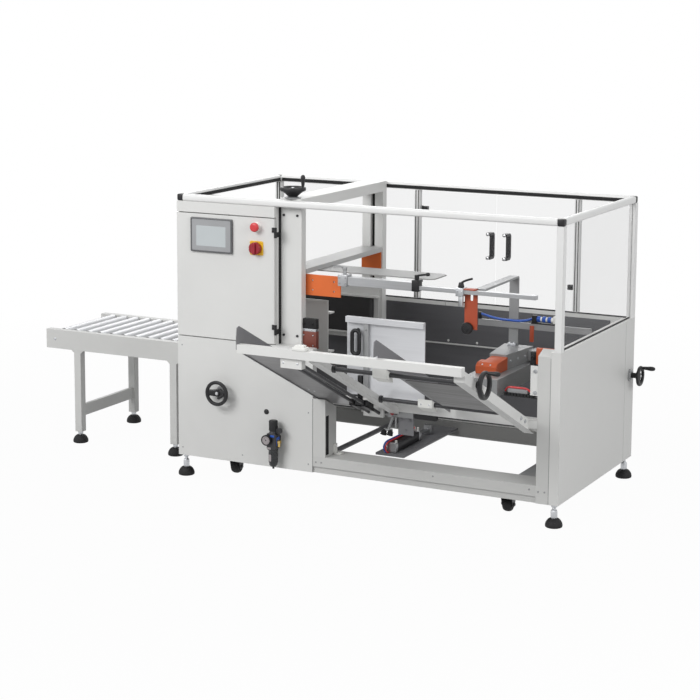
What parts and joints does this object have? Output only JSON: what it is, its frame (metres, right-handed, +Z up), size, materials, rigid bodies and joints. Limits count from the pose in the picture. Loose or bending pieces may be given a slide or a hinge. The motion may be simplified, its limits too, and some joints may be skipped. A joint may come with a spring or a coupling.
{
  "type": "case erector",
  "caption": "Case erector with a guarded body, control cabinet, tilted blank magazine, height-adjustable gantry and roller outfeed conveyor.",
  "frame": {"origin": "bottom centre of the outline, on the floor", "axes": "+X along the machine from the outfeed end to the right end, +Y from the magazine side to the rear, +Z up"},
  "size_m": [3.137, 1.83, 1.524],
  "materials": {
    "machine_paint": "satin light grey powder coat",
    "panel_paint": "satin light grey powder coat",
    "white_profile": "white anodised and coated profile",
    "black_plastic": "moulded black plastic",
    "clear_sheet": "clear tinted polycarbonate sheet",
    "screen_plastic": "dark bezel with a glossy screen",
    "red_plastic": "glossy red moulding",
    "yellow_plate": "yellow plate and collar",
    "orange_paint": "orange powder coat",
    "steel": "brushed stainless sheet",
    "dark_steel": "black oxide rods",
    "white_plastic": "white slide plastic",
    "grey_steel": "grey painted steel",
    "belt_rubber": "black rubber belt",
    "roller_steel": "zinc plated roller tube",
    "foot_rubber": "grey rubber and plated stem"
  },
  "bodies": {
    "machine": {"base_rails": "machine_paint", "frame_posts": "machine_paint", "front_panel": "panel_paint", "left_end_panel": "panel_paint", "right_end_panel": "panel_paint", "rear_panel": "panel_paint", "control_cabinet": "machine_paint", "hinge_knuckles": "black_plastic", "gantry_posts": "machine_paint", "gantry_beam": "white_profile", "guard_top_rails": "white_profile", "guard_posts": "white_profile", "guard_corner_caps": "black_plastic", "guard_panels": "clear_sheet", "magazine_bars": "machine_paint", "magazine_trays": "steel", "magazine_rods": "dark_steel", "air_regulator": "black_plastic", "levelling_feet": "foot_rubber", "casters": "black_plastic", "conveyor_channels": "panel_paint", "conveyor_legs": "machine_paint", "top_guide_bar": "steel", "guide_stand": "grey_steel", "blank_stop": "orange_paint", "side_belts": "belt_rubber", "belt_frames": "machine_paint", "lower_cylinder": "steel"},
    "door": {"control_door": "machine_paint", "door_hinges": "black_plastic", "touch_screen": "screen_plastic", "switch_plates": "yellow_plate"},
    "stop": {"stop_button": "red_plastic"},
    "switch": {"main_switch_knob": "red_plastic"},
    "crosshead": {"crosshead": "steel", "crosshead_brackets": "orange_paint"},
    "lift_wheel": {"lift_handwheel": "black_plastic"},
    "rear_leaf_left": {"rear_door_left": "clear_sheet", "rear_door_left_fittings": "black_plastic"},
    "rear_leaf_right": {"rear_door_right": "clear_sheet", "rear_door_right_fittings": "black_plastic"},
    "side_guide": {"right_guide": "steel", "right_guide_blocks": "white_plastic"},
    "follower": {"follower_plate": "machine_paint", "follower_handle": "black_plastic"},
    "magazine_wheel": {"magazine_handwheel": "black_plastic"},
    "front_wheel": {"front_handwheel": "black_plastic"},
    "end_wheel": {"end_handwheel": "black_plastic"},
    "roller_01": {"roller_01": "roller_steel"},
    "roller_02": {"roller_02": "roller_steel"},
    "roller_03": {"roller_03": "roller_steel"},
    "roller_04": {"roller_04": "roller_steel"},
    "roller_05": {"roller_05": "roller_steel"},
    "roller_06": {"roller_06": "roller_steel"},
    "roller_07": {"roller_07": "roller_steel"},
    "roller_08": {"roller_08": "roller_steel"},
    "roller_09": {"roller_09": "roller_steel"},
    "roller_10": {"roller_10": "roller_steel"},
    "roller_11": {"roller_11": "roller_steel"},
    "roller_12": {"roller_12": "roller_steel"}
  },
  "joints": [
    {"name": "control_door_hinge", "type": "hinge", "parent": "machine", "child": "door", "pos_m": [-0.0105, -0.154, 1], "axis": [0, 0, 1], "range_deg": [0, 105]},
    {"name": "stop_push", "type": "slide", "parent": "door", "child": "stop", "axis": [0, 1, 0], "range_m": [0, 0.004], "stiffness_N_per_m": 900},
    {"name": "main_switch_turn", "type": "hinge", "parent": "door", "child": "switch", "pos_m": [-0.1145, -0.1555, 1.169], "axis": [0, 1, 0], "range_deg": [0, 90]},
    {"name": "crosshead_lift", "type": "slide", "parent": "machine", "child": "crosshead", "axis": [0, 0, 1], "range_m": [-0.13, 0.26]},
    {"name": "lift_wheel_turn", "type": "hinge", "parent": "machine", "child": "lift_wheel", "pos_m": [0.04, -0.0735, 1.41], "axis": [0, 0, 1], "continuous": true},
    {"name": "rear_door_left_hinge", "type": "hinge", "parent": "machine", "child": "rear_leaf_left", "pos_m": [0.2815, 0.877, 1.09], "axis": [0, 0, 1], "range_deg": [0, 120]},
    {"name": "rear_door_right_hinge", "type": "hinge", "parent": "machine", "child": "rear_leaf_right", "pos_m": [1.1255, 0.877, 1.09], "axis": [0, 0, -1], "range_deg": [0, 120]},
    {"name": "side_guide_slide", "type": "slide", "parent": "machine", "child": "side_guide", "axis": [1, 0, 0], "range_m": [-0.06, 0.28]},
    {"name": "follower_slide", "type": "slide", "parent": "machine", "child": "follower", "axis": [0, -0.8998, 0.4364], "range_m": [0, 0.5]},
    {"name": "magazine_wheel_turn", "type": "hinge", "parent": "machine", "child": "magazine_wheel", "pos_m": [1.2885, -0.75, 0.76425], "axis": [1, 0, 0], "continuous": true},
    {"name": "front_wheel_turn", "type": "hinge", "parent": "machine", "child": "front_wheel", "pos_m": [-0.3115, -0.15, 0.448], "axis": [0, -1, 0], "continuous": true},
    {"name": "end_wheel_turn", "type": "hinge", "parent": "machine", "child": "end_wheel", "pos_m": [1.4385, 0.81, 0.527], "axis": [1, 0, 0], "continuous": true},
    {"name": "roller_01_spin", "type": "hinge", "parent": "machine", "child": "roller_01", "pos_m": [-1.4865, 0.425, 0.575], "axis": [0, 1, 0], "continuous": true},
    {"name": "roller_02_spin", "type": "hinge", "parent": "machine", "child": "roller_02", "pos_m": [-1.4115, 0.425, 0.575], "axis": [0, 1, 0], "continuous": true},
    {"name": "roller_03_spin", "type": "hinge", "parent": "machine", "child": "roller_03", "pos_m": [-1.3365, 0.425, 0.575], "axis": [0, 1, 0], "continuous": true},
    {"name": "roller_04_spin", "type": "hinge", "parent": "machine", "child": "roller_04", "pos_m": [-1.2615, 0.425, 0.575], "axis": [0, 1, 0], "continuous": true},
    {"name": "roller_05_spin", "type": "hinge", "parent": "machine", "child": "roller_05", "pos_m": [-1.1865, 0.425, 0.575], "axis": [0, 1, 0], "continuous": true},
    {"name": "roller_06_spin", "type": "hinge", "parent": "machine", "child": "roller_06", "pos_m": [-1.1115, 0.425, 0.575], "axis": [0, 1, 0], "continuous": true},
    {"name": "roller_07_spin", "type": "hinge", "parent": "machine", "child": "roller_07", "pos_m": [-1.0365, 0.425, 0.575], "axis": [0, 1, 0], "continuous": true},
    {"name": "roller_08_spin", "type": "hinge", "parent": "machine", "child": "roller_08", "pos_m": [-0.9615, 0.425, 0.575], "axis": [0, 1, 0], "continuous": true},
    {"name": "roller_09_spin", "type": "hinge", "parent": "machine", "child": "roller_09", "pos_m": [-0.8865, 0.425, 0.575], "axis": [0, 1, 0], "continuous": true},
    {"name": "roller_10_spin", "type": "hinge", "parent": "machine", "child": "roller_10", "pos_m": [-0.8115, 0.425, 0.575], "axis": [0, 1, 0], "continuous": true},
    {"name": "roller_11_spin", "type": "hinge", "parent": "machine", "child": "roller_11", "pos_m": [-0.7365, 0.425, 0.575], "axis": [0, 1, 0], "continuous": true},
    {"name": "roller_12_spin", "type": "hinge", "parent": "machine", "child": "roller_12", "pos_m": [-0.6615, 0.425, 0.575], "axis": [0, 1, 0], "continuous": true}
  ]
}
